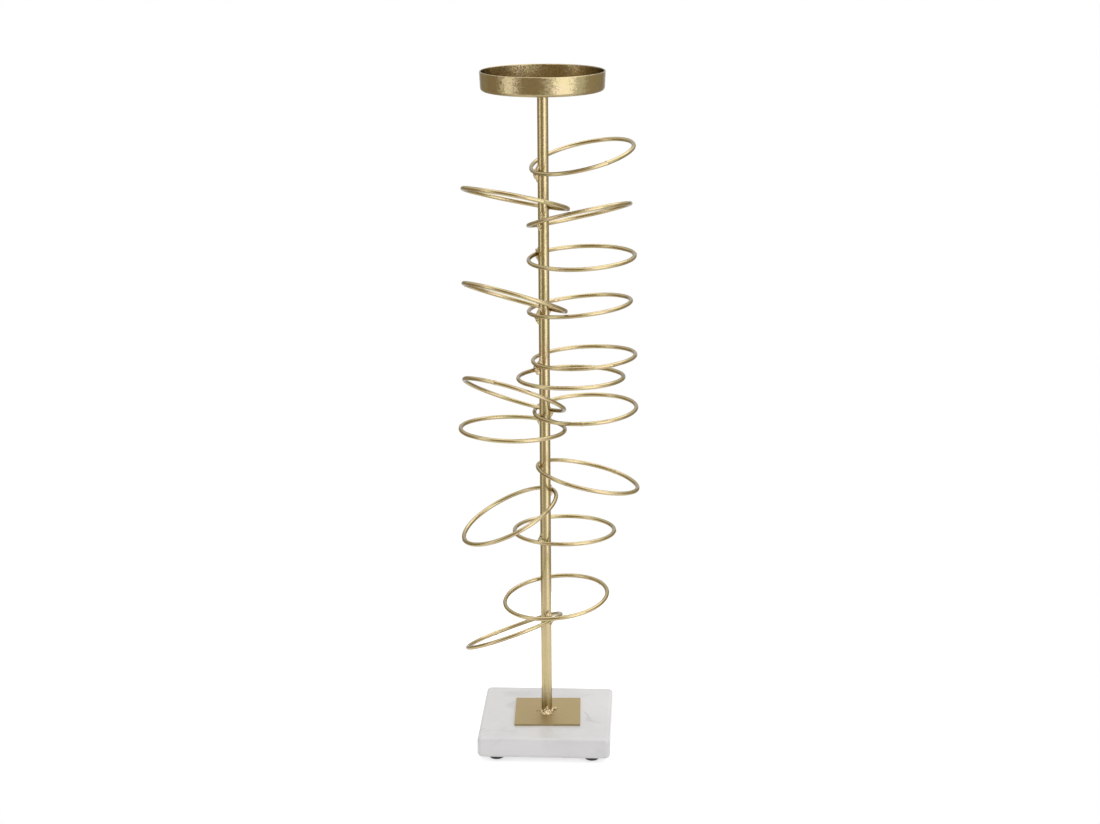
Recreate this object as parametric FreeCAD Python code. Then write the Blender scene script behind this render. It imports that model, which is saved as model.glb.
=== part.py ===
import FreeCAD, Part
import math
import os

from FreeCAD import Vector

# Tall candle holder. A straight rod stands on a square marble slab and carries a shallow candle cup.
# Sixteen closed wire rings hang round the rod at odd angles, each held by one weld at its inner edge.
# Lengths are in millimetres and angles in degrees, +Z is up, and the front of the slab faces -Y.
# The pieces are made with the rod's axis on the Z axis and the table at zero. At the end they all move
# together, so that the origin lies at table level under the middle of the whole outline.

# Marble slab with rolled edges
slab_side = 100.0
slab_thickness = 16.0
slab_corner_radius = 4.0
slab_edge_radius = 3.0

# Rubber feet, domes with a small flat where they meet the table
foot_radius = 6.5
foot_height = 4.0
foot_flat_radius = 3.0
foot_lip_height = 0.8
foot_side_inset = 14.0
foot_front_inset = 10.5

# Metal plate on the slab, set by hand and a little askew
plate_side = 50.0
plate_thickness = 1.5
plate_corner_radius = 0.6
plate_turn_angle = 2.0
plate_shift_right = 0.8
plate_shift_front = 0.6

# Rod
stem_radius = 4.0
stem_length = 476.5

# Screw that clamps slab and plate to the rod, from a recess under the slab
bolt_radius = 2.5
bolt_head_flats = 8.0
bolt_head_height = 3.5
bolt_engagement = 9.0
bolt_tip_chamfer = 0.5
bolt_hole_clearance = 0.4
thread_clearance = 0.05
tap_runout = 2.0
washer_radius = 7.5
washer_thickness = 1.0
washer_clearance = 0.5
recess_depth = 6.5

# Candle cup, a shallow pan of thin sheet
cup_rim_radius = 45.0
cup_height = 14.0
cup_taper = 0.5
cup_wall = 1.0
cup_corner_radius = 2.5

# Wire rings
ring_radius = 38.25
wire_radius = 1.5
weld_gap = 0.1

# Ring poses from the top ring down. Heights are shares of the rod's length. A bearing is where the weld
# sits round the rod, a roll is the wire's slope there, and a rise lifts the ring's far side.
ring_height_shares = (
    0.877, 0.822, 0.802, 0.751, 0.664, 0.656, 0.578, 0.568,
    0.503, 0.495, 0.485, 0.414, 0.374, 0.290, 0.224, 0.159,
)
ring_bearing_angles = (208, 53, 219, 150, 48, 218, 208, 129, 44.5, 204, 47, 182, 24, 247, 106, 330)
ring_roll_angles = (0, 0.5, 17.5, -2.5, 0.5, 5, 3, 1, -5, 0, -1, 2.5, -5, 1, -6.5, -2)
ring_rise_angles = (14, 17, 2, 1.5, 22, 4, 2.5, 2.5, 27.5, 3, 2.5, -12.5, -25, -2, -2.5, -24.5)

# Weld lumps on the rings. The outline runs up the rod, with a waist where the wire passes, and its axis
# lies a little inside the rod so that both tips die into the rod's skin.
weld_root = 0.6
weld_reach = 4.5
weld_half_height = 7.0
weld_size_shares = (
    1.12, 0.92, 1.0, 0.95, 0.9, 1.0, 1.05, 0.95,
    0.9, 1.0, 0.95, 1.05, 0.95, 0.9, 0.92, 1.0,
)
weld_outline_shares = (
    (0.0, -1.0), (0.34, -0.8), (0.66, -0.56), (0.96, -0.31), (0.7, 0.0),
    (0.92, 0.29), (0.78, 0.5), (0.32, 0.76), (0.0, 1.0),
)

# Weld round the rod's foot, a plain bead with lumps on it, and the bead under the cup
stem_bead_leg = 2.2
lump_radius = 2.6
lump_stretch_share = 1.3
lump_bearing_angles = (262, 305, 190, 24, 118)
lump_reach_shares = (0.6, 0.5, 0.45, 1.35, 0.3)
lump_size_shares = (1.0, 0.75, 0.8, 0.66, 0.7)
cup_bead_leg = 2.0

# How far every cutting tool runs past the face it cuts
overrun = 1.0

origin = Vector(0, 0, 0)
up = Vector(0, 0, 1)

# Levels worked out from the sizes above
slab_base = foot_height
slab_top = slab_base + slab_thickness
stem_base = slab_top + plate_thickness
stem_top = stem_base + stem_length
recess_roof = slab_base + recess_depth


def revolve_outline(edges):
    """A solid from a closed outline in the XZ plane, turned once about the Z axis."""
    face = Part.Face(Part.Wire(edges))
    return face.revolve(origin, up, 360)


def line(start, end):
    return Part.LineSegment(start, end).toShape()


def arc(start, middle, end):
    return Part.Arc(start, middle, end).toShape()


def upright_edges(block):
    return [edge for edge in block.Edges if edge.BoundBox.ZLength > edge.BoundBox.DiagonalLength / 2]


def make_slab():
    half = slab_side / 2
    slab = Part.makeBox(slab_side, slab_side, slab_thickness, Vector(-half, -half, slab_base))
    slab = slab.makeFillet(slab_corner_radius, upright_edges(slab))
    rims = [e for e in slab.Edges if e.BoundBox.ZLength < slab_thickness / 2]
    slab = slab.makeFillet(slab_edge_radius, rims)
    hole = Part.makeCylinder(bolt_radius + bolt_hole_clearance, slab_thickness + 2 * overrun,
                             Vector(0, 0, slab_base - overrun))
    recess = Part.makeCylinder(washer_radius + washer_clearance, recess_depth + overrun,
                               Vector(0, 0, slab_base - overrun))
    return slab.cut(hole).cut(recess)


def make_foot(side, front):
    """A dome that hangs from the slab: flat on the table, round up to a short upright lip."""
    lip_base = foot_height - foot_lip_height
    lean = math.radians(45)
    bulge = Vector(foot_flat_radius + (foot_radius - foot_flat_radius) * math.sin(lean), 0,
                   lip_base * (1 - math.cos(lean)))
    edges = [
        line(origin, Vector(foot_flat_radius, 0, 0)),
        arc(Vector(foot_flat_radius, 0, 0), bulge, Vector(foot_radius, 0, lip_base)),
        line(Vector(foot_radius, 0, lip_base), Vector(foot_radius, 0, foot_height)),
        line(Vector(foot_radius, 0, foot_height), Vector(0, 0, foot_height)),
        line(Vector(0, 0, foot_height), origin),
    ]
    foot = revolve_outline(edges)
    half = slab_side / 2
    foot.translate(Vector(side * (half - foot_side_inset), front * (half - foot_front_inset), 0))
    return foot


def make_plate():
    half = plate_side / 2
    plate = Part.makeBox(plate_side, plate_side, plate_thickness, Vector(-half, -half, slab_top))
    plate = plate.makeFillet(plate_corner_radius, upright_edges(plate))
    plate.rotate(origin, up, plate_turn_angle)
    plate.translate(Vector(plate_shift_right, -plate_shift_front, 0))
    hole = Part.makeCylinder(bolt_radius + bolt_hole_clearance, plate_thickness + 2 * overrun,
                             Vector(0, 0, slab_top - overrun))
    return plate.cut(hole)


def make_stem():
    """The rod, tapped from below, with the cone that a drill leaves at the end of the hole."""
    tap_radius = bolt_radius + thread_clearance
    tap_depth = bolt_engagement + tap_runout
    stem = Part.makeCylinder(stem_radius, stem_length, Vector(0, 0, stem_base))
    hole = Part.makeCylinder(tap_radius, tap_depth + overrun, Vector(0, 0, stem_base - overrun))
    point = Part.makeCone(tap_radius, 0, tap_radius / 2, Vector(0, 0, stem_base + tap_depth))
    return stem.cut(hole.fuse(point))


def make_bolt():
    """A hexagon screw, head down, with the head's corners turned off to a cone."""
    head_top = recess_roof - washer_thickness
    head_base = head_top - bolt_head_height
    corner_radius = bolt_head_flats / math.sqrt(3)
    turns = [math.radians(60 * k) for k in range(7)]
    corners = [
        Vector(corner_radius * math.cos(turn), corner_radius * math.sin(turn), head_base)
        for turn in turns
    ]
    head = Part.Face(Part.makePolygon(corners)).extrude(Vector(0, 0, bolt_head_height))
    cone_rise = (corner_radius - bolt_head_flats / 2) * math.tan(math.radians(30))
    turning = Part.makeCone(bolt_head_flats / 2, corner_radius, cone_rise, Vector(0, 0, head_base))
    turning = turning.fuse(Part.makeCylinder(corner_radius, bolt_head_height - cone_rise,
                                             Vector(0, 0, head_base + cone_rise)))
    head = head.common(turning)
    shank_end = stem_base + bolt_engagement
    shank_length = shank_end - bolt_tip_chamfer - head_top
    shank = Part.makeCylinder(bolt_radius, shank_length, Vector(0, 0, head_top))
    tip = Part.makeCone(bolt_radius, bolt_radius - bolt_tip_chamfer, bolt_tip_chamfer,
                        Vector(0, 0, shank_end - bolt_tip_chamfer))
    return head.fuse(shank).fuse(tip).removeSplitter()


def make_washer():
    base = Vector(0, 0, recess_roof - washer_thickness)
    washer = Part.makeCylinder(washer_radius, washer_thickness, base)
    return washer.cut(Part.makeCylinder(bolt_radius + bolt_hole_clearance, washer_thickness, base))


def make_cup():
    """A pan with a round bottom corner, walls that lean out to the rim, and a rounded lip."""
    floor_level = stem_top + cup_wall
    rim_level = stem_top + cup_height
    base_radius = cup_rim_radius - cup_taper
    outer_turn = Vector(base_radius - cup_corner_radius, 0, stem_top + cup_corner_radius)
    inner_corner = cup_corner_radius - cup_wall
    lean = Vector(math.sin(math.radians(45)), 0, -math.cos(math.radians(45)))
    outer_mid = outer_turn + lean * cup_corner_radius
    inner_mid = outer_turn + lean * inner_corner
    wall_half = cup_wall / 2
    outer_low = outer_turn + Vector(cup_corner_radius, 0, 0)
    inner_low = outer_turn + Vector(inner_corner, 0, 0)
    outer_rim = Vector(cup_rim_radius, 0, rim_level - wall_half)
    inner_rim = Vector(cup_rim_radius - cup_wall, 0, rim_level - wall_half)
    edges = [
        line(Vector(0, 0, stem_top), Vector(outer_turn.x, 0, stem_top)),
        arc(Vector(outer_turn.x, 0, stem_top), outer_mid, outer_low),
        line(outer_low, outer_rim),
        arc(outer_rim, Vector(cup_rim_radius - wall_half, 0, rim_level), inner_rim),
        line(inner_rim, inner_low),
        arc(inner_low, inner_mid, Vector(outer_turn.x, 0, floor_level)),
        line(Vector(outer_turn.x, 0, floor_level), Vector(0, 0, floor_level)),
        line(Vector(0, 0, floor_level), Vector(0, 0, stem_top)),
    ]
    return revolve_outline(edges)


def round_bead(leg, level, side):
    """A bead of filler in the corner between the rod and a flat: side 1 stands on it, side -1 hangs."""
    foot = Vector(stem_radius + leg, 0, level)
    top = Vector(stem_radius, 0, level + side * leg)
    corner = Vector(stem_radius, 0, level)
    swell = corner + Vector(leg, 0, side * leg) * math.cos(math.radians(50))
    return revolve_outline([line(corner, foot), arc(foot, swell, top), line(top, corner)])


def make_stem_weld(stem):
    """The bead round the rod's foot with its lumps, cut flat on the plate and round the rod."""
    weld = round_bead(stem_bead_leg, stem_base, 1)
    for bearing, reach, size in zip(lump_bearing_angles, lump_reach_shares, lump_size_shares):
        lump = Part.makeSphere(lump_radius * size)
        stretch = FreeCAD.Matrix()
        stretch.scale(1, 1, lump_stretch_share)
        lump = lump.transformGeometry(stretch)
        lump.translate(Vector(stem_radius + stem_bead_leg * reach, 0, stem_base))
        lump.rotate(origin, up, bearing)
        weld = weld.fuse(lump)
    reach = stem_radius + stem_bead_leg + 2 * lump_radius + overrun
    room = Part.makeCylinder(reach, reach, Vector(0, 0, stem_base))
    return weld.common(room).cut(stem)


def make_ring(height, bearing, roll, rise):
    """A wire ring laid flat with its inner edge by the rod, then raised, rolled, lifted and turned."""
    contact = Vector(stem_radius + weld_gap + wire_radius, 0, 0)
    middle = contact - Vector(ring_radius, 0, 0)
    ring = Part.makeTorus(ring_radius, wire_radius, middle)
    ring.rotate(middle, up, 180)
    ring.rotate(contact, Vector(0, 1, 0), rise)
    ring.rotate(contact, Vector(1, 0, 0), roll)
    ring.translate(Vector(0, 0, height))
    ring.rotate(origin, up, bearing)
    return ring


def weld_centre(k):
    turn = math.radians(ring_bearing_angles[k])
    reach = stem_radius - weld_root
    height = stem_base + ring_height_shares[k] * stem_length
    return Vector(reach * math.cos(turn), reach * math.sin(turn), height)


def make_lump(k):
    """A waisted lump, turned about an upright axis just under the rod's skin, with its seam in the rod."""
    size = weld_size_shares[k]
    points = [
        Vector(-weld_reach * size * out, 0, weld_half_height * size * along)
        for out, along in weld_outline_shares
    ]
    outline = Part.BSplineCurve()
    outline.interpolate(points)
    lump = revolve_outline([outline.toShape(), line(points[-1], points[0])])
    lump.rotate(origin, up, ring_bearing_angles[k])
    lump.translate(weld_centre(k))
    return lump


def beyond(own, other):
    """A block that fills the far side of the plane halfway between two weld centres."""
    span = 4 * weld_half_height
    block = Part.makeBox(span, span, span, Vector(-span / 2, -span / 2, 0))
    block.Placement = FreeCAD.Placement((own + other) * 0.5, FreeCAD.Rotation(up, other - own))
    return block


def make_ring_welds(stem, rings):
    """One lump for each ring, seated on rod and wire. Lumps that would meet share a flat."""
    lumps = [make_lump(k) for k in range(len(rings))]
    welds = []
    for k, lump in enumerate(lumps):
        weld = lump
        for j, other in enumerate(lumps):
            if j != k and lump.BoundBox.intersect(other.BoundBox):
                weld = weld.cut(beyond(weld_centre(k), weld_centre(j)))
        welds.append(weld.cut(stem).cut(rings[k]))
    return welds


def make_parts():
    parts = {"marble_base": make_slab(), "base_plate": make_plate()}
    for side, side_name in ((-1, "left"), (1, "right")):
        for front, front_name in ((-1, "front"), (1, "rear")):
            parts["foot_" + front_name + "_" + side_name] = make_foot(side, front)
    parts["base_bolt"] = make_bolt()
    parts["bolt_washer"] = make_washer()
    stem = make_stem()
    parts["stem"] = stem
    parts["stem_weld"] = make_stem_weld(stem)
    parts["candle_cup"] = make_cup()
    parts["cup_weld"] = round_bead(cup_bead_leg, stem_top, -1)
    poses = zip(ring_height_shares, ring_bearing_angles, ring_roll_angles, ring_rise_angles)
    rings = [make_ring(stem_base + share * stem_length, *turns) for share, *turns in poses]
    for k, weld in enumerate(make_ring_welds(stem, rings)):
        parts["ring_%02d" % (k + 1)] = rings[k]
        parts["ring_weld_%02d" % (k + 1)] = weld
    return parts


def outline_middle(shapes):
    """The middle of the whole outline as seen from above, at table level."""
    outline = FreeCAD.BoundBox()
    for shape in shapes:
        outline.add(shape.optimalBoundingBox(False, False))
    return Vector(outline.Center.x, outline.Center.y, 0)


os.makedirs("parts", exist_ok=True)
parts = make_parts()
middle = outline_middle(parts.values())
print("rod axis at", round(-middle.x, 3), round(-middle.y, 3))
for name, shape in parts.items():
    shape.translate(-middle)
    print(name, "solids", len(shape.Solids), "volume", round(shape.Volume, 2), "valid", shape.isValid())
    shape.exportStep("parts/" + name + ".step")
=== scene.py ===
import math

import bpy
import numpy as np
from mathutils import Matrix, Vector


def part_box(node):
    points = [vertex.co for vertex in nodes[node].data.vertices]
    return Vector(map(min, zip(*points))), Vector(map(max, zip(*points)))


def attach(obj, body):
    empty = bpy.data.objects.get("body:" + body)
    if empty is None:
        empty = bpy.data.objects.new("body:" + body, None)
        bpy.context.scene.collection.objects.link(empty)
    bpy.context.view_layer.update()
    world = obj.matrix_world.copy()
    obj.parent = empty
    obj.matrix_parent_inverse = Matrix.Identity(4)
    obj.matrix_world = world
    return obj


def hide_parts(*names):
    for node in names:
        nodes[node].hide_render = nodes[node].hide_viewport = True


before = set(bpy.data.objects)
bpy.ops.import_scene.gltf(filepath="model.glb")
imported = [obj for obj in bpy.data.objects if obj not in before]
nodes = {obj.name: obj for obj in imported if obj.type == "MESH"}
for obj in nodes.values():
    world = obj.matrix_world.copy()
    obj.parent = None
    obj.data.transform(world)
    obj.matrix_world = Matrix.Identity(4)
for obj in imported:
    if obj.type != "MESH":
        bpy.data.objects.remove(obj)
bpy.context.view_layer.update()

# Tall candle holder: marble slab on rubber feet, gold plate and rod, sixteen wire rings with their welds,
# and a shallow cup. Lengths are in metres and angles in degrees. The rod's axis and every piece's place
# come from the frame.

mm = 0.001
up = np.array([0.0, 0.0, 1.0])


def boxOf(name):
    low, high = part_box(name)
    return np.array(low), np.array(high)


# Level unit vectors along a bearing, and to its left.
def levelAxes(bearing):
    turn = math.radians(bearing)
    return np.array([math.cos(turn), math.sin(turn), 0.0]), np.array([-math.sin(turn), math.cos(turn), 0.0])


stemLow, stemHigh = boxOf("stem")
stemRadius = (stemHigh[0] - stemLow[0]) / 2
axis = np.array([stemLow[0] + stemRadius, stemLow[1] + stemRadius, 0.0])
ringNames = sorted(name for name in nodes if name.startswith("ring_") and "weld" not in name)
print("frame loaded:", len(nodes), "nodes,", len(ringNames), "rings")


# Shader maths. A Signal is one output socket, and Python's operators on it add Math nodes.
class Signal:
    def __init__(self, finish, socket):
        self.finish = finish
        self.socket = socket

    def maths(self, operation, *values):
        return self.finish.node("Math", {"operation": operation}, dict(enumerate(values)))

    def __add__(self, other):
        return self.maths("ADD", self, other)

    def __radd__(self, other):
        return self.maths("ADD", other, self)

    def __sub__(self, other):
        return self.maths("SUBTRACT", self, other)

    def __rsub__(self, other):
        return self.maths("SUBTRACT", other, self)

    def __mul__(self, other):
        return self.maths("MULTIPLY", self, other)

    def __rmul__(self, other):
        return self.maths("MULTIPLY", other, self)

    def __abs__(self):
        return self.maths("ABSOLUTE", self)


# One shader tree. Every node comes from node(), which sets its settings first and then its inputs.
class Finish:
    def __init__(self, owner):
        owner.use_nodes = True
        self.owner = owner
        self.tree = owner.node_tree
        self.tree.nodes.clear()

    def node(self, kind, settings=None, inputs=None, output=0):
        made = self.tree.nodes.new("ShaderNode" + kind)
        for key, value in (settings or {}).items():
            setattr(made, key, value)
        for key, value in (inputs or {}).items():
            if isinstance(value, Signal):
                self.tree.links.new(value.socket, made.inputs[key])
            else:
                made.inputs[key].default_value = value
        return Signal(self, made.outputs[output]) if made.outputs else None

    def place(self):
        return self.node("TexCoord", output="Object")

    def noise(self, vector, size, detail=2.0, output=0):
        return self.node("TexNoise", None, {"Vector": vector, "Scale": 1 / size, "Detail": detail}, output)

    def step(self, value, low, high):
        inputs = {"Value": value, "From Min": low, "From Max": high}
        return self.node("MapRange", {"interpolation_type": "SMOOTHSTEP"}, inputs)

    def blend(self, share, first, second):
        return self.node("Mix", {"data_type": "RGBA"}, {0: share, 6: first, 7: second}, 2)

    def vectors(self, operation, *values):
        return self.node("VectorMath", {"operation": operation}, dict(enumerate(values)))

    def dot(self, vector, direction):
        return self.node("VectorMath", {"operation": "DOT_PRODUCT"}, {0: vector, 1: tuple(direction)}, 1)

    def bump(self, height, distance, normal=None):
        inputs = {"Height": height, "Distance": distance}
        if normal is not None:
            inputs["Normal"] = normal
        return self.node("Bump", None, inputs)

    def close(self, shader):
        self.node("OutputMaterial", None, {"Surface": shader})
        return self.owner


def newMaterial(name):
    return Finish(bpy.data.materials.new(name))


def rgb(red, green, blue):
    return (red, green, blue, 1.0)


# Gold plating over satin metal. The colour wanders between a tan and an olive gold by a smooth noise. Flat
# grains tilt the normal, one random tilt for each, and make it sparkle. The tilt goes from tiltLow at the
# height fineFrom to tiltHigh at coarseFrom. Nearer to the rod's axis than calmWithin, inside the cup, it
# is half as strong.
goldLook = {
    "tan": rgb(0.475, 0.37, 0.20),
    "olive": rgb(0.44, 0.365, 0.175),
    "mottle": 9 * mm,
    "mottleRange": (0.35, 0.65),
    "grain": 0.75 * mm,
    "tiltHigh": 0.125,
    "tiltLow": 0.012,
    "fineFrom": 0.14,
    "coarseFrom": 0.46,
    "calmWithin": 0.0,
    "calmEdge": 0.3 * mm,
    "calmShare": 0.5,
    "ripple": 1.6 * mm,
    "rippleDepth": 0.012 * mm,
    "roughness": 0.24,
    "smudge": 2.5 * mm,
    "smudgeDepth": 0.10,
    "lacquer": 0.5,
    "lacquerRoughness": 0.2,
    "lacquerIor": 1.6,
    "edge": rgb(0.48, 0.46, 0.43),
}


def goldMetal(name, look):
    made = newMaterial(name)
    place = made.place()
    height = made.node("SeparateXYZ", None, {"Vector": place}, 2)
    level = made.vectors("MULTIPLY", made.vectors("SUBTRACT", place, tuple(axis)), (1.0, 1.0, 0.0))
    spread = made.node("VectorMath", {"operation": "LENGTH"}, {0: level}, 1)
    inside = look["calmShare"]
    outside = made.step(spread, look["calmWithin"] - look["calmEdge"], look["calmWithin"])
    calm = inside + (1 - inside) * outside
    rough = calm * made.step(height, look["fineFrom"], look["coarseFrom"])
    wander = made.step(made.noise(place, look["mottle"], 3), *look["mottleRange"])
    colour = made.blend(wander, look["tan"], look["olive"])
    cells = made.node("TexVoronoi", None, {"Vector": place, "Scale": 1 / look["grain"]}, 1)
    tilt = look["tiltLow"] + (look["tiltHigh"] - look["tiltLow"]) * rough
    lean = made.vectors("SUBTRACT", cells, (0.5, 0.5, 0.5))
    lean = made.node("VectorMath", {"operation": "SCALE"}, {0: lean, "Scale": tilt})
    facing = made.node("NewGeometry", output=1)
    normal = made.vectors("NORMALIZE", made.vectors("ADD", facing, lean))
    ripple = made.noise(place, look["ripple"], 3)
    normal = made.bump(ripple, look["rippleDepth"], normal)
    shine = look["roughness"] + look["smudgeDepth"] * (made.noise(place, look["smudge"], 2) - 0.5)
    shader = made.node("BsdfPrincipled", None, {
        "Base Color": colour,
        "Metallic": 1.0,
        "Roughness": shine,
        "Normal": normal,
        "Coat Weight": look["lacquer"],
        "Coat Roughness": look["lacquerRoughness"],
        "Coat IOR": look["lacquerIor"],
        "Specular Tint": look["edge"],
    })
    return made.close(shader)


# Honed white marble: broad pale-grey clouds, thin soft veins where a warped noise crosses its middle
# value, and a few listed marks. Each of these fades with the distance along and across a bearing
# through its middle. They are given in millimetres from the rod: right, back, bearing, half length, half
# width, strength.
marbleLook = {
    "white": rgb(0.775, 0.76, 0.725),
    "cloud": rgb(0.685, 0.675, 0.65),
    "markGrey": rgb(0.46, 0.455, 0.45),
    "warpSize": 16 * mm,
    "warp": 16 * mm,
    "cloudSize": 40 * mm,
    "cloudRange": (0.42, 0.78),
    "veinSize": 55 * mm,
    "veinWidth": 0.03,
    "veinStrength": 0.22,
    "gapSize": 30 * mm,
    "gapRange": (0.50, 0.68),
    "strokeCore": 0.3,
    "roughness": 0.30,
    "speckle": 1.2 * mm,
    "speckleShine": 0.12,
    "speckleDepth": 0.008 * mm,
    "polish": 0.3,
    "polishRoughness": 0.3,
    "strokes": [
        (31, -7, -72, 17, 1.6, 0.40), (37, -17, -22, 9, 1.4, 0.30), (-24, 36, 10, 15, 9.0, 0.30),
        # The stroke at 27 mm left and 13 mm back greys a patch just left of the plate.
        (-27, 13, 80, 10, 5.0, 0.34), (5, -33, -30, 6, 1.4, 0.26), (-47, -35, 65, 8, 1.6, 0.42),
        (24, 30, 35, 16, 6.0, 0.16), (-36, -14, -60, 12, 1.3, 0.16),
    ],
}


def marble(name, look):
    made = newMaterial(name)
    place = made.vectors("SUBTRACT", made.place(), tuple(axis))
    warp = made.vectors("SUBTRACT", made.noise(place, look["warpSize"], 4, output=1), (0.5, 0.5, 0.5))
    warped = made.vectors("ADD", place, made.vectors("MULTIPLY", warp, (look["warp"],) * 3))
    clouds = made.step(made.noise(warped, look["cloudSize"], 4), *look["cloudRange"])
    colour = made.blend(clouds, look["white"], look["cloud"])
    crossing = abs(made.noise(warped, look["veinSize"], 2) - 0.5)
    veins = 1 - made.step(crossing, 0.0, look["veinWidth"])
    gate = made.step(made.noise(place, look["gapSize"], 2), *look["gapRange"])
    colour = made.blend(veins * veins * gate * look["veinStrength"], colour, look["markGrey"])
    for x, y, bearing, length, width, strength in look["strokes"]:
        along, aside = levelAxes(bearing)
        middle = np.array([x, y, 0.0]) * mm
        fromMiddle = made.vectors("SUBTRACT", warped, tuple(middle))
        core = look["strokeCore"] * length * mm
        fade = 1 - made.step(abs(made.dot(fromMiddle, along)), core, length * mm)
        line = 1 - made.step(abs(made.dot(fromMiddle, aside)), 0.0, width * mm)
        colour = made.blend(fade * line * strength, colour, look["markGrey"])
    speckle = made.noise(place, look["speckle"], 3)
    shader = made.node("BsdfPrincipled", None, {
        "Base Color": colour,
        "Roughness": look["roughness"] + look["speckleShine"] * (speckle - 0.5),
        "Normal": made.bump(speckle, look["speckleDepth"]),
        "Coat Weight": look["polish"],
        "Coat Roughness": look["polishRoughness"],
    })
    return made.close(shader)


# Plain finishes: a smooth noise blends two colours and adds to the roughness, and a fine one makes the
# bump. The feet are near-black moulded rubber with a dusting of grey, the screw and washer zinc with a
# crystalline haze.
rubberLook = {
    "dark": rgb(0.012, 0.012, 0.013),
    "pale": rgb(0.03, 0.03, 0.032),
    "patch": 4 * mm,
    "patchRange": (0.45, 0.8),
    "metallic": 0.0,
    "roughness": 0.5,
    "haze": 0.15,
    "grain": 0.5 * mm,
    "grainDepth": 0.02 * mm,
}
zincLook = {
    "dark": rgb(0.50, 0.51, 0.53),
    "pale": rgb(0.62, 0.63, 0.66),
    "patch": 1.5 * mm,
    "patchRange": (0.35, 0.7),
    "metallic": 1.0,
    "roughness": 0.28,
    "haze": 0.15,
    "grain": 0.4 * mm,
    "grainDepth": 0.01 * mm,
}


def plainFinish(name, look):
    made = newMaterial(name)
    place = made.place()
    patch = made.step(made.noise(place, look["patch"], 4), *look["patchRange"])
    shader = made.node("BsdfPrincipled", None, {
        "Base Color": made.blend(patch, look["dark"], look["pale"]),
        "Metallic": look["metallic"],
        "Roughness": look["roughness"] + look["haze"] * patch,
        "Normal": made.bump(made.noise(place, look["grain"], 2), look["grainDepth"]),
    })
    return made.close(shader)


rodGold = goldMetal("rod_gold", goldLook)
wireLook = dict(goldLook, tiltHigh=0.055, tiltLow=0.02)
wireGold = goldMetal("wire_gold", wireLook)
weldLook = dict(goldLook, tan=rgb(0.56, 0.44, 0.26), olive=rgb(0.54, 0.44, 0.24), grain=0.6 * mm,
                tiltHigh=0.24, tiltLow=0.22, roughness=0.30)
weldGold = goldMetal("weld_gold", weldLook)
cupLow, cupHigh = boxOf("candle_cup")
cupRadius = (cupHigh[0] - cupLow[0]) / 2
cupLook = dict(goldLook, tan=rgb(0.415, 0.32, 0.175), olive=rgb(0.385, 0.315, 0.15), tiltHigh=0.15,
               roughness=0.23, rippleDepth=0.005 * mm, calmWithin=cupRadius - 0.5 * mm)
cupGold = goldMetal("cup_gold", cupLook)
plateLook = dict(goldLook, tan=rgb(0.43, 0.335, 0.182), olive=rgb(0.415, 0.335, 0.172), tiltLow=0.008,
                 roughness=0.48, mottle=25 * mm, rippleDepth=0.006 * mm, lacquer=0.15)
plateGold = goldMetal("plate_gold", plateLook)
marbleStone = marble("white_marble", marbleLook)
footRubber = plainFinish("black_rubber", rubberLook)
zincSteel = plainFinish("zinc_steel", zincLook)
print("finishes made")


# Smooth random field from -1 to 1: random values at the corners of cells, blended by 3t^2 - 2t^3 along each
# axis. The values repeat after size cells.
def randomField(points, cell, seed):
    size = 16
    lattice = np.random.default_rng(seed).uniform(-1, 1, (size, size, size))
    scaled = points / cell
    base = np.floor(scaled).astype(int)
    part = scaled - base
    part = part * part * (3 - 2 * part)
    total = np.zeros(points.shape[:-1])
    for corner in np.ndindex(2, 2, 2):
        share = np.where(np.array(corner) == 1, part, 1 - part).prod(axis=-1)
        index = (base + corner) % size
        total += share * lattice[index[..., 0], index[..., 1], index[..., 2]]
    return total


def newObject(name, data):
    made = bpy.data.objects.new(name, data)
    bpy.context.scene.collection.objects.link(made)
    return made


# A grid of points as a closed mesh. Columns always join up. Rows join up too, or end at two poles when these
# are given. The faces are turned outwards by the sign of the volume that they enclose.
def gridPiece(name, points, poles=None):
    rows, columns = points.shape[:2]
    index = np.arange(rows * columns).reshape(rows, columns)
    beside = np.roll(index, -1, axis=1)
    places = points.reshape(-1, 3)
    if poles is None:
        above = np.roll(index, -1, axis=0)
        quads = np.stack([index, beside, np.roll(beside, -1, axis=0), above], axis=-1).reshape(-1, 4)
        fans = np.empty((0, 3), int)
    else:
        quads = np.stack([index[:-1], beside[:-1], beside[1:], index[1:]], axis=-1).reshape(-1, 4)
        lowFan = np.stack([beside[0], index[0], np.full(columns, len(places))], axis=-1)
        highFan = np.stack([index[-1], beside[-1], np.full(columns, len(places) + 1)], axis=-1)
        fans = np.concatenate([lowFan, highFan])
        places = np.concatenate([places, np.array(poles)])
    triangles = np.concatenate([quads[:, [0, 1, 2]], quads[:, [0, 2, 3]], fans])
    corners = (places - places.mean(axis=0))[triangles]
    volume = (corners[:, 0] * np.cross(corners[:, 1], corners[:, 2])).sum()
    if volume < 0:
        quads, fans = quads[:, ::-1], fans[:, ::-1]
    loops = np.concatenate([quads.ravel(), fans.ravel()])
    counts = np.concatenate([np.full(len(quads), 4), np.full(len(fans), 3)])
    mesh = bpy.data.meshes.new(name)
    mesh.vertices.add(len(places))
    mesh.vertices.foreach_set("co", places.astype(np.float32).ravel())
    mesh.loops.add(len(loops))
    mesh.loops.foreach_set("vertex_index", loops.astype(np.int32))
    mesh.polygons.add(len(counts))
    mesh.polygons.foreach_set("loop_start", (np.cumsum(counts) - counts).astype(np.int32))
    mesh.polygons.foreach_set("use_smooth", np.ones(len(counts), bool))
    mesh.update(calc_edges=True)
    return newObject(name, mesh)


def dress(piece, finish, slot, *replaced):
    piece.data.materials.append(finish)
    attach(piece, "root")
    if replaced:
        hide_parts(*replaced)


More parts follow.
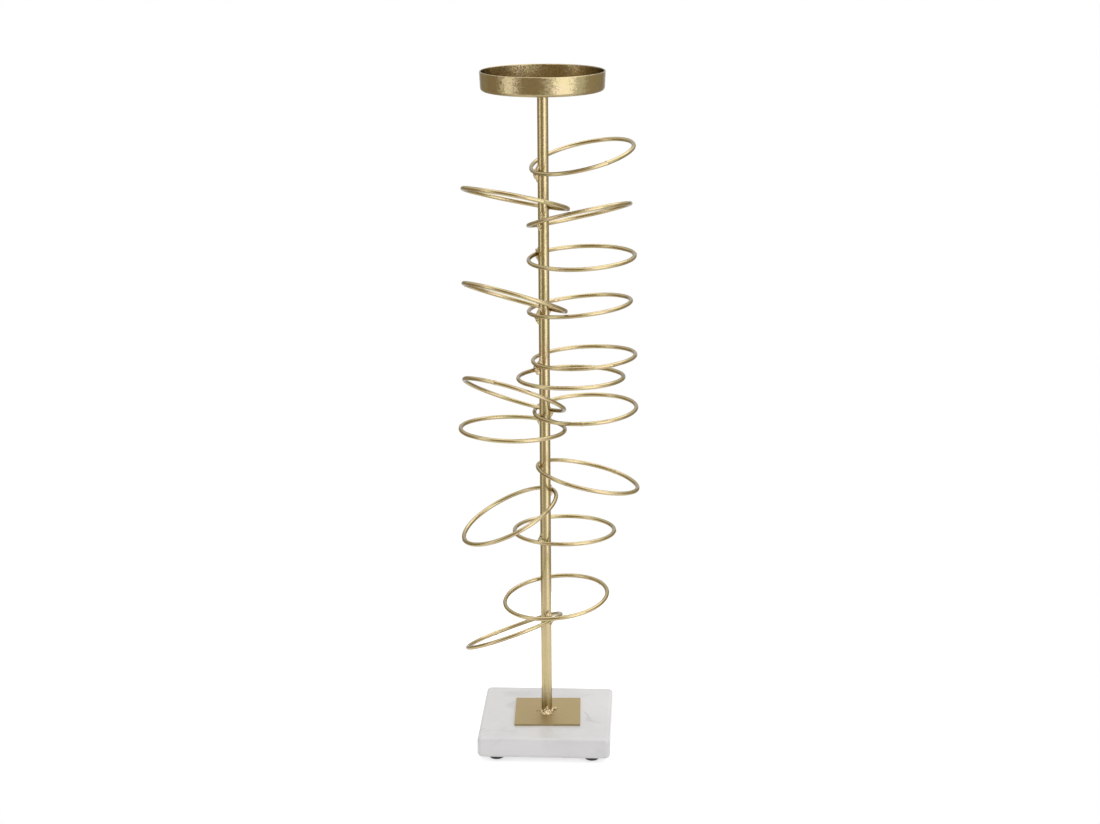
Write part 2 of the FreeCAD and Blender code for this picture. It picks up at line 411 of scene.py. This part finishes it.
# A wire ring's pose, read from its node: the middle of its box, the direction in which its points spread
# least, its two radii, and the point of its centre line that is nearest to the rod, among circleSteps
# points.
circleSteps = 7200


def ringPose(name):
    mesh = nodes[name].data
    points = np.empty(len(mesh.vertices) * 3)
    mesh.vertices.foreach_get("co", points)
    low, high = boxOf(name)
    centre = (low + high) / 2
    points = points.reshape(-1, 3) - centre
    normal = np.linalg.eigh(points.T @ points)[1][:, 0]
    normal = normal * np.sign(normal[2])
    spread = np.linalg.norm(points - np.outer(points @ normal, normal), axis=1)
    radius = (spread.max() + spread.min()) / 2
    first = np.cross(normal, [1.0, 0.0, 0.0])
    first = first / np.linalg.norm(first)
    second = np.cross(normal, first)
    turn = np.linspace(0, 2 * math.pi, circleSteps)[:, None]
    circle = centre + radius * (np.cos(turn) * first + np.sin(turn) * second)
    nearest = circle[np.linalg.norm((circle - axis)[:, :2], axis=1).argmin()]
    towards = (nearest - centre) / radius
    return {
        "centre": centre,
        "normal": normal,
        "radius": radius,
        "wire": (spread.max() - spread.min()) / 2,
        "towards": towards,
        "aside": np.cross(normal, towards),
        "contact": nearest,
    }


# Wire rings. The centre line is centre + radius * outward, and round it goes a circular section of the
# wire's radius and its plating. The line sways in and out and up and down by two sines each, and less
# towards the rod. Two random fields dent the skin, and a ground butt weld closes each ring as a short
# thick place.
ringLook = {
    "steps": 540,
    "sides": 20,
    "plating": 0.07 * mm,
    "sway": 0.10 * mm,
    "swayOvertone": 0.6,
    "inward": 0.21 * mm,
    "lift": 0.09 * mm,
    "liftOvertone": 0.7,
    "dent": 0.022 * mm,
    "dentSize": 2.4 * mm,
    "fineDentShare": 0.5,
    "fineDentSize": 2.4 * mm / 2.6,
    "jointSwell": 0.13,
    "jointHalfLength": 1.5,
    "jointTurns": [91, 250, 140, 215, 118, 262, 96, 300, 205, 64, 128, 236, 170, 110, 285, 150],
}


def wireRing(name, number, pose, look):
    along = np.linspace(0, 2 * math.pi, look["steps"], endpoint=False)
    girth = np.linspace(0, 2 * math.pi, look["sides"], endpoint=False)
    outward = np.cos(along)[:, None] * pose["towards"] + np.sin(along)[:, None] * pose["aside"]
    free = (1 - np.cos(along)) / 2
    phase = np.random.default_rng(100 + number).uniform(0, 2 * math.pi, 4)
    swing = np.sin(2 * along + phase[0]) + look["swayOvertone"] * np.sin(3 * along + phase[1])
    sway = look["sway"] * swing - look["inward"]
    rise = np.sin(2 * along + phase[2]) + look["liftOvertone"] * np.sin(5 * along + phase[3])
    lift = look["lift"] * free * rise
    middle = pose["centre"] + (pose["radius"] + free * sway)[:, None] * outward
    middle = middle + lift[:, None] * pose["normal"]
    fromJoint = (np.degrees(along) - look["jointTurns"][number - 1] + 180) % 360 - 180
    swell = 1 + look["jointSwell"] * np.exp(-((fromJoint / look["jointHalfLength"]) ** 2))
    section = (np.cos(girth)[None, :, None] * outward[:, None, :]
               + np.sin(girth)[None, :, None] * pose["normal"])
    thickness = pose["wire"] * swell + look["plating"] * free
    skin = middle[:, None, :] + thickness[:, None, None] * section
    dents = randomField(skin, look["dentSize"], 200 + number)
    dents = dents + look["fineDentShare"] * randomField(skin, look["fineDentSize"], 300 + number)
    skin = skin + (look["dent"] * dents)[..., None] * section
    piece = gridPiece(name + "_wire", skin)
    dress(piece, wireGold, "gold_metal", name)


poses = [ringPose(name) for name in ringNames]
for number, (name, pose) in enumerate(zip(ringNames, poses), 1):
    wireRing(name, number, pose, ringLook)
print("wire rings made")


# Signed depth of a soft union: each shape gives a distance, negative inside, and
# -s * log(sum of exp(-distance / s)) melts them into each other over the softness s.
def melt(distances, softness):
    total = sum(np.exp(-np.clip(distance / softness, -40, 40)) for distance in distances)
    return -softness * np.log(total)


# Distance from a ball whose height is tall times its width.
def ballDistance(points, centre, radius, tall):
    return np.linalg.norm((points - centre) / np.array([1.0, 1.0, tall]), axis=-1) - radius


# Where each ray leaves the shape: the first sample outside, drawn back towards the one before it by their
# depths.
def leaving(start, direction, reach, depth, samples=56):
    share = np.linspace(0, 1, samples)
    distance = reach[..., None] * share
    values = depth(start[..., None, :] + distance[..., None] * direction[..., None, :])
    outside = values > 0
    outside[..., 0] = False
    outside[..., -1] = True
    after = outside.argmax(axis=-1)[..., None]
    high = np.take_along_axis(values, after, axis=-1)
    low = np.take_along_axis(values, after - 1, axis=-1)
    part = np.where(high > 0, np.clip(-low / np.maximum(high - low, 1e-9), 0, 1), 1.0)
    found = np.take_along_axis(distance, after - 1, axis=-1) + part * (reach[..., None] / (samples - 1))
    return start + found * direction


# Filler between a ring and the rod. Level rays leave an upright line just under the rod's skin, all round
# and row by row, and stop where they leave the soft union of rod, wire and a pile of lumps. Random fields
# roughen the union. Lumps are given as: out from the rod's skin, aside, up, radius, and how tall each one
# is for its width. They turn round the rod and grow by the lists, from the top ring down, and a few random
# beads join them. Groove lumps fill the groove over a wire in front of the rod: turn from the contact,
# out, up, radius.
fillerLook = {
    "columns": 88,
    "rowStep": 0.17 * mm,
    "sunk": 0.6 * mm,
    "inset": 0.3 * mm,
    "softness": 0.32 * mm,
    "standing": 7.0 * mm,
    "margin": 1.0 * mm,
    "reach": 6.4 * mm,
    "backReach": 1.6 * mm,
    "backFrom": -0.2,
    "beads": 3,
    "beadOut": (0.3, 1.8),
    "beadAside": (-1.8, 1.8),
    "beadUp": (1.4, 3.8),
    "beadRadius": (0.45, 0.85),
    "beadTall": (0.8, 1.3),
    "scatter": (-0.2, 0.2),
    "sizeScatter": (0.92, 1.08),
    "rough": 0.13 * mm,
    "roughSize": 1.1 * mm,
    "fine": 0.06 * mm,
    "fineSize": 0.45 * mm,
    "lumps": [
        (1.4, 0.0, 1.5, 1.35, 1.1), (0.9, 0.1, 3.0, 1.05, 1.3), (0.3, -0.1, 4.5, 0.8, 1.5),
        (0.0, 0.0, 5.7, 0.5, 1.8), (1.6, 0.0, -1.5, 1.55, 1.1), (1.0, -0.1, -3.1, 1.25, 1.3),
        (0.4, 0.1, -4.7, 0.9, 1.4), (0.1, 0.0, -6.0, 0.6, 1.6),
    ],
    "turnsAbove": [0, 0, 34, 0, 0, 0, 30, 25, 0, 0, 0, 0, 0, -26, 30, -24],
    "turnsBelow": [-12, 0, 10, 0, 0, -22, -15, 0, -22, -6, 0, 0, 0, -30, 30, 0],
    "above": [0.9, 0.8, 1.6, 1.0, 0.8, 1.0, 1.35, 1.4, 0.8, 0.55, 0.9, 0.5, 0.7, 1.45, 0.6, 1.7],
    "below": [0.95, 0.8, 1.0, 1.0, 0.8, 1.05, 1.5, 1.0, 1.1, 1.0, 0.7, 0.5, 0.8, 0.5, 0.6, 0.7],
    "groove": {14: [(-6, 0.7, 1.0, 0.95), (9, 0.7, 0.95, 0.95), (24, 0.6, 0.9, 0.85)]},
}


def ringWeld(name, number, pose, look):
    random = np.random.default_rng(500 + number)
    low, high = boxOf(name)
    contact = pose["contact"]
    size = max(high[2] - contact[2], contact[2] - low[2]) / look["standing"]
    bearing = math.degrees(math.atan2(contact[1] - axis[1], contact[0] - axis[0]))
    out, aside = levelAxes(bearing)
    skinPoint = axis + out * stemRadius + up * contact[2]
    lumps = []
    sides = [(1, look["turnsAbove"], look["above"]), (-1, look["turnsBelow"], look["below"])]
    for side, turns, shares in sides:
        full = size * shares[number - 1]
        outHere, asideHere = levelAxes(bearing + turns[number - 1])
        foot = axis + outHere * stemRadius + up * contact[2]
        pile = [lump for lump in look["lumps"] if lump[2] * side > 0]
        for bead in range(look["beads"]):
            outward = random.uniform(*look["beadOut"])
            sideways = random.uniform(*look["beadAside"])
            upward = side * random.uniform(*look["beadUp"])
            radius = random.uniform(*look["beadRadius"])
            pile.append((outward, sideways, upward, radius, random.uniform(*look["beadTall"])))
        for outward, sideways, upward, radius, tall in pile:
            place = full * mm * (np.array([outward, sideways, upward]) + random.uniform(*look["scatter"], 3))
            centre = foot + place[0] * outHere + place[1] * asideHere + place[2] * up
            lumps.append((centre, radius * full * random.uniform(*look["sizeScatter"]) * mm, tall))
    for turn, outward, upward, radius in look["groove"].get(number, []):
        outHere = levelAxes(bearing + turn)[0]
        centre = axis + outHere * (stemRadius + outward * mm) + up * (contact[2] + upward * mm)
        lumps.append((centre, radius * mm, 1.0))

    def depth(points):
        fromRod = np.linalg.norm((points - axis)[..., :2], axis=-1) - stemRadius + look["inset"]
        fromMiddle = points - pose["centre"]
        rise = fromMiddle @ pose["normal"]
        spread = np.linalg.norm(fromMiddle - rise[..., None] * pose["normal"], axis=-1)
        fromWire = np.hypot(spread - pose["radius"], rise) - pose["wire"] + look["inset"]
        distances = [fromRod, fromWire] + [ballDistance(points, *lump) for lump in lumps]
        rough = look["rough"] * randomField(points, look["roughSize"], 600 + number)
        fine = look["fine"] * randomField(points, look["fineSize"], 700 + number)
        return melt(distances, look["softness"]) - rough - fine

    half = look["standing"] * size + look["margin"]
    rows = int(2 * half / look["rowStep"])
    heights = np.linspace(-half, half, rows)
    turn = np.linspace(0, 2 * math.pi, look["columns"], endpoint=False)
    direction = np.cos(turn)[None, :, None] * out + np.sin(turn)[None, :, None] * aside
    direction = np.broadcast_to(direction, (rows, look["columns"], 3))
    start = skinPoint - look["sunk"] * out + heights[:, None, None] * up
    start = np.broadcast_to(start, direction.shape)
    reach = np.where(np.cos(turn) > look["backFrom"], look["reach"], look["backReach"])
    reach = np.broadcast_to(reach, direction.shape[:2])
    skin = leaving(start, direction, reach, depth)
    piece = gridPiece(name + "_filler", skin, [start[0, 0], start[-1, 0]])
    dress(piece, weldGold, "gold_metal", name)


for number, (name, pose) in enumerate(zip(ringNames, poses), 1):
    ringWeld(name.replace("ring_", "ring_weld_"), number, pose, fillerLook)
print("ring welds made")


# Weld in the corner between the rod and a flat. Rays leave a circle just inside that corner, in upright
# planes round the rod, and stop where they leave the soft union of rod, flat, a round bead and lumps. Side
# 1 stands on the flat. Lumps are given as: bearing round the rod, out from its skin, up from the flat,
# radius, tallness.
stemWeldLook = {
    "bead": 0.8 * mm,
    "lumps": [
        (264, 1.3, 0.3, 1.7, 1.2), (252, 2.4, -0.2, 1.5, 0.8), (280, 2.2, -0.2, 1.4, 0.8),
        (276, 0.3, 2.6, 1.0, 1.9), (248, 0.4, 1.6, 0.9, 1.4), (296, 0.6, 1.4, 0.9, 1.3),
        (305, 1.0, 0.2, 1.2, 1.1), (190, 0.6, 0.1, 1.2, 1.1), (214, 0.9, 0.0, 1.0, 1.0),
        (24, 0.9, 0.2, 1.2, 1.1), (118, 0.6, 0.1, 1.5, 1.2), (72, 0.6, 0.1, 1.2, 1.2),
        (158, 0.5, 0.2, 1.1, 1.2), (340, 0.5, 0.2, 1.0, 1.2),
    ],
}
cupWeldLook = {
    "bead": 1.35 * mm,
    "lumps": [(40 * k + 13 * (k % 3), 0.5, 0.1, 1.2 + 0.15 * (k % 2), 1.1) for k in range(9)],
}
cornerLook = {
    "columns": 220,
    "openRows": 44,
    "hiddenRows": 8,
    "sunk": 0.45 * mm,
    "beadSunk": 0.25,
    "reach": 8.0 * mm,
    "hiddenReach": 0.8,
    "inset": 0.2 * mm,
    "softness": 0.3 * mm,
    "rough": 0.14 * mm,
    "roughSize": 1.2 * mm,
    "fine": 0.06 * mm,
    "fineSize": 0.5 * mm,
}


def cornerWeld(name, level, side, seed, own, look):
    base = axis + level * up
    lumps = []
    for bearing, outward, upward, radius, tall in own["lumps"]:
        out = levelAxes(bearing)[0]
        lumps.append((base + out * (stemRadius + outward * mm) + side * upward * mm * up, radius * mm, tall))

    def depth(points):
        spread = np.linalg.norm((points - axis)[..., :2], axis=-1)
        rise = side * (points[..., 2] - level)
        sunk = look["beadSunk"] * own["bead"]
        bead = np.hypot(spread - stemRadius - sunk, rise - sunk) - own["bead"]
        distances = [spread - stemRadius + look["inset"], rise + look["inset"], bead]
        distances += [ballDistance(points, *lump) for lump in lumps]
        rough = look["rough"] * randomField(points, look["roughSize"], seed)
        fine = look["fine"] * randomField(points, look["fineSize"], seed + 1)
        return melt(distances, look["softness"]) - rough - fine

    bearings = np.linspace(0, 2 * math.pi, look["columns"], endpoint=False)
    out = np.stack([np.cos(bearings), np.sin(bearings), np.zeros(look["columns"])], axis=-1)
    opened = np.linspace(0, math.pi / 2, look["openRows"])
    hidden = np.linspace(math.pi / 2, 2 * math.pi, look["hiddenRows"] + 2)[1:-1]
    lean = np.concatenate([opened, hidden])
    direction = np.cos(lean)[:, None, None] * out + side * np.sin(lean)[:, None, None] * up
    start = base + out * (stemRadius - look["sunk"]) - side * look["sunk"] * up
    start = np.broadcast_to(start, direction.shape)
    hiddenReach = look["hiddenReach"] * look["sunk"]
    reach = np.concatenate([np.full(len(opened), look["reach"]), np.full(len(hidden), hiddenReach)])
    skin = leaving(start, direction, np.broadcast_to(reach[:, None], direction.shape[:2]), depth)
    piece = gridPiece(name + "_filler", skin)
    dress(piece, weldGold, "gold_metal", name)


cornerWeld("stem_weld", stemLow[2], 1, 41, stemWeldLook, cornerLook)
cornerWeld("cup_weld", stemHigh[2], -1, 51, cupWeldLook, cornerLook)
print("corner welds made")


# Weld spatter on the plate: flattened drops, each a sphere of directions whose radius a random field makes
# uneven. Drops are given as: bearing round the rod, distance from its axis, height above its foot, half
# width, half height.
spatterLook = {
    "rows": 9,
    "columns": 14,
    "uneven": 0.3,
    "unevenSize": 0.7,
    "narrow": 0.8,
    "drops": [
        (33, 7.4, 0.3, 1.5, 0.9), (20, 6.2, 0.3, 1.2, 1.0), (8, 8.6, 0.1, 0.7, 0.4),
        (182, 7.6, 0.1, 0.6, 0.4), (196, 8.2, 0.1, 0.45, 0.35), (236, 7.9, 0.1, 0.5, 0.3),
        (301, 7.7, 0.1, 0.6, 0.4), (128, 7.3, 0.1, 0.6, 0.4),
    ],
}


def spatter(look):
    lean = np.linspace(0, math.pi, look["rows"] + 2)[1:-1]
    turn = np.linspace(0, 2 * math.pi, look["columns"], endpoint=False)
    ball = np.stack([np.sin(lean)[:, None] * np.cos(turn), np.sin(lean)[:, None] * np.sin(turn),
                     np.cos(lean)[:, None] * np.ones(look["columns"])], axis=-1)
    for number, (bearing, distance, height, wide, tall) in enumerate(look["drops"], 1):
        angle = math.radians(bearing)
        centre = axis + mm * np.array([distance * math.cos(angle), distance * math.sin(angle), height])
        centre = centre + up * stemLow[2]
        size = mm * np.array([wide, wide * look["narrow"], tall])
        uneven = 1 + look["uneven"] * randomField(ball + number, look["unevenSize"], 800 + number)
        skin = centre + ball * size * uneven[..., None]
        poles = [centre + up * size[2], centre - up * size[2]]
        piece = gridPiece("spatter_%d" % number, skin, poles)
        dress(piece, weldGold, "gold_metal")


spatter(spatterLook)
print("spatter made")


# Pieces whose shape in the frame is right keep it and get a finish.
def paint(name, finish):
    for place in nodes[name].material_slots:
        place.material = finish


for name in nodes:
    if name.startswith("foot_"):
        paint(name, footRubber)
for name in ("base_bolt", "bolt_washer"):
    paint(name, zincSteel)
paint("marble_base", marbleStone)
paint("stem", rodGold)
paint("candle_cup", cupGold)
paint("base_plate", plateGold)
print("frame's own pieces painted")


# Studio: a white table disc, four soft boxes, one of them unseen in reflections, and dark cards that only
# reflections see. The table glows for the camera and in reflections, and still takes the object's shadow.
studio = {
    "tableRadius": 0.32,
    "tableSides": 96,
    "tableGrain": 60 * mm,
    "tableGrainDepth": 0.04,
    "tableColour": rgb(0.80, 0.80, 0.80),
    "tableGlow": rgb(0.62, 0.62, 0.62),
    "ambient": 0.46,
    "cardColour": rgb(0.43, 0.365, 0.25),
    "sideCardColour": rgb(0.55, 0.49, 0.38),
    "focus": (0.0, 0.0, 0.27),
}


def stageMesh(name, points, faces):
    mesh = bpy.data.meshes.new(name)
    mesh.from_pydata(points, [], faces)
    piece = newObject(name, mesh)
    return piece


# 1 for rays that come from the camera, a reflection or a transmission, and 0 for those that only light
# things.
def isSeen(finish):
    kinds = ("Is Camera Ray", "Is Glossy Ray", "Is Transmission Ray")
    rays = [finish.node("LightPath", output=kind) for kind in kinds]
    return rays[0].maths("MAXIMUM", rays[0], rays[1].maths("MAXIMUM", rays[1], rays[2]))


def table(look):
    sides = look["tableSides"]
    turn = np.linspace(0, 2 * math.pi, sides, endpoint=False)
    points = np.stack([np.cos(turn), np.sin(turn), np.zeros(sides)], axis=-1) * look["tableRadius"]
    disc = stageMesh("table", points.tolist(), [list(range(sides))])
    made = newMaterial("table_white")
    grain = look["tableGrainDepth"] * made.noise(made.place(), look["tableGrain"], 2)
    matt = made.node("BsdfDiffuse", None, {"Color": made.blend(grain, look["tableColour"], rgb(1, 1, 1))})
    glow = made.node("Emission", None, {"Color": made.blend(isSeen(made), rgb(0, 0, 0), look["tableGlow"])})
    disc.data.materials.append(made.close(made.node("AddShader", None, {0: matt, 1: glow})))


# A matrix at a place, turned so that its -Z axis points at the target.
def aimed(place, target):
    back = (Vector(place) - Vector(target)).normalized()
    turned = back.to_track_quat("Z", "Y").to_matrix().to_4x4()
    turned.translation = Vector(place)
    return turned


# A place round the rod: azimuth 0 is the front and 90 the right, at a distance from the axis and a height.
def around(azimuth, distance, height):
    turn = math.radians(azimuth)
    return (axis[0] + distance * math.sin(turn), axis[1] - distance * math.cos(turn), height)


def softBox(name, look):
    lamp = bpy.data.lights.new(name, "AREA")
    lamp.shape = "RECTANGLE"
    lamp.size, lamp.size_y = look["size"]
    lamp.energy = look["level"] * math.pi * look["size"][0] * look["size"][1]
    lamp.color = look["colour"]
    box = newObject(name, lamp)
    box.matrix_world = aimed(around(*look["place"]), studio["focus"])
    box.visible_glossy = name not in unseenBoxes


# Soft boxes: place as azimuth, distance and height, size, level for each unit of area, colour.
softBoxes = {
    "key": {"place": (43, 1.25, 0.4), "size": (0.84, 1.5), "level": 1.46, "colour": (0.96, 0.975, 1.14)},
    "fill": {"place": (-60, 1.3, 0.5), "size": (0.32, 1.2), "level": 0.95, "colour": (0.98, 0.98, 1.08)},
    "top": {"place": (140, 0.35, 1.5), "size": (1.8, 1.7), "level": 1.38, "colour": (0.995, 0.995, 1.05)},
    "front": {"place": (-12, 1.8, 0.4), "size": (0.8, 0.8), "level": 0.9, "colour": (1.0, 0.99, 0.95)},
}
unseenBoxes = ["front"]

# Dark cards stand upright round the object: azimuth, distance, width, lowest and highest point, colour.
darkCards = [
    (-17, 1.9, 1.85, -0.48, 3.4, "cardColour"),
    (104, 1.0, 0.62, -0.6, 0.75, "sideCardColour"),
    (138, 1.0, 0.65, -0.6, 0.60, "sideCardColour"),
    (-97, 1.0, 0.75, -0.6, 0.68, "cardColour"),
    (-135, 1.0, 0.70, -0.6, 0.58, "sideCardColour"),
]


def darkCard(number, azimuth, distance, width, low, high, colour):
    middle = np.array(around(azimuth, distance, 0.0))
    sideways = levelAxes(azimuth)[0] * width / 2
    corners = [middle - sideways + up * low, middle + sideways + up * low,
               middle + sideways + up * high, middle - sideways + up * high]
    card = stageMesh("dark_card_%d" % number, [corner.tolist() for corner in corners], [[0, 1, 2, 3]])
    card.visible_camera = False
    card.visible_diffuse = False
    card.visible_transmission = False
    card.visible_shadow = False
    made = newMaterial("dark_card_%d" % number)
    card.data.materials.append(made.close(made.node("Emission", None, {"Color": studio[colour]})))


table(studio)
for name, look in softBoxes.items():
    softBox(name, look)
for number, card in enumerate(darkCards, 1):
    darkCard(number, *card)

world = bpy.data.worlds.new("studio")
bpy.context.scene.world = world
sky = Finish(world)
seen = isSeen(sky)
skyColour = sky.blend(seen, rgb(studio["ambient"], studio["ambient"], studio["ambient"]), rgb(1, 1, 1))
sky.node("OutputWorld", None, {"Surface": sky.node("Background", None, {"Color": skyColour})})
print("studio set")


# Camera: it stands a little to the right of the front and looks down on the object from above the cup. Its
# heading is turned to the left of +Y, its pitch is downwards, and the lens and the sensor are in
# millimetres.
cameraLook = {
    "azimuth": 3.193,
    "distance": 1.49791,
    "height": 0.67604,
    "heading": 3.0452,
    "pitch": 15.5058,
    "roll": -0.3677,
    "lens": 68.616,
    "sensor": 36.0,
    "clipStart": 0.01,
}


def placeCamera(look):
    heading, pitch, roll = (math.radians(look[key]) for key in ("heading", "pitch", "roll"))
    reach = math.cos(pitch)
    forward = np.array([-math.sin(heading) * reach, math.cos(heading) * reach, -math.sin(pitch)])
    level = np.array([math.cos(heading), math.sin(heading), 0.0])
    above = np.cross(level, forward)
    right = level * math.cos(roll) + above * math.sin(roll)
    top = above * math.cos(roll) - level * math.sin(roll)
    camera = newObject("camera", bpy.data.cameras.new("camera"))
    camera.data.lens = look["lens"]
    camera.data.sensor_width = look["sensor"]
    camera.data.clip_start = look["clipStart"]
    matrix = Matrix.Identity(4)
    for row in range(3):
        matrix[row][0], matrix[row][1], matrix[row][2] = right[row], top[row], -forward[row]
    matrix.translation = Vector(around(look["azimuth"], look["distance"], look["height"]))
    camera.matrix_world = matrix
    bpy.context.scene.camera = camera


placeCamera(cameraLook)
bpy.context.scene.view_settings.view_transform = "Standard"
print("camera placed")
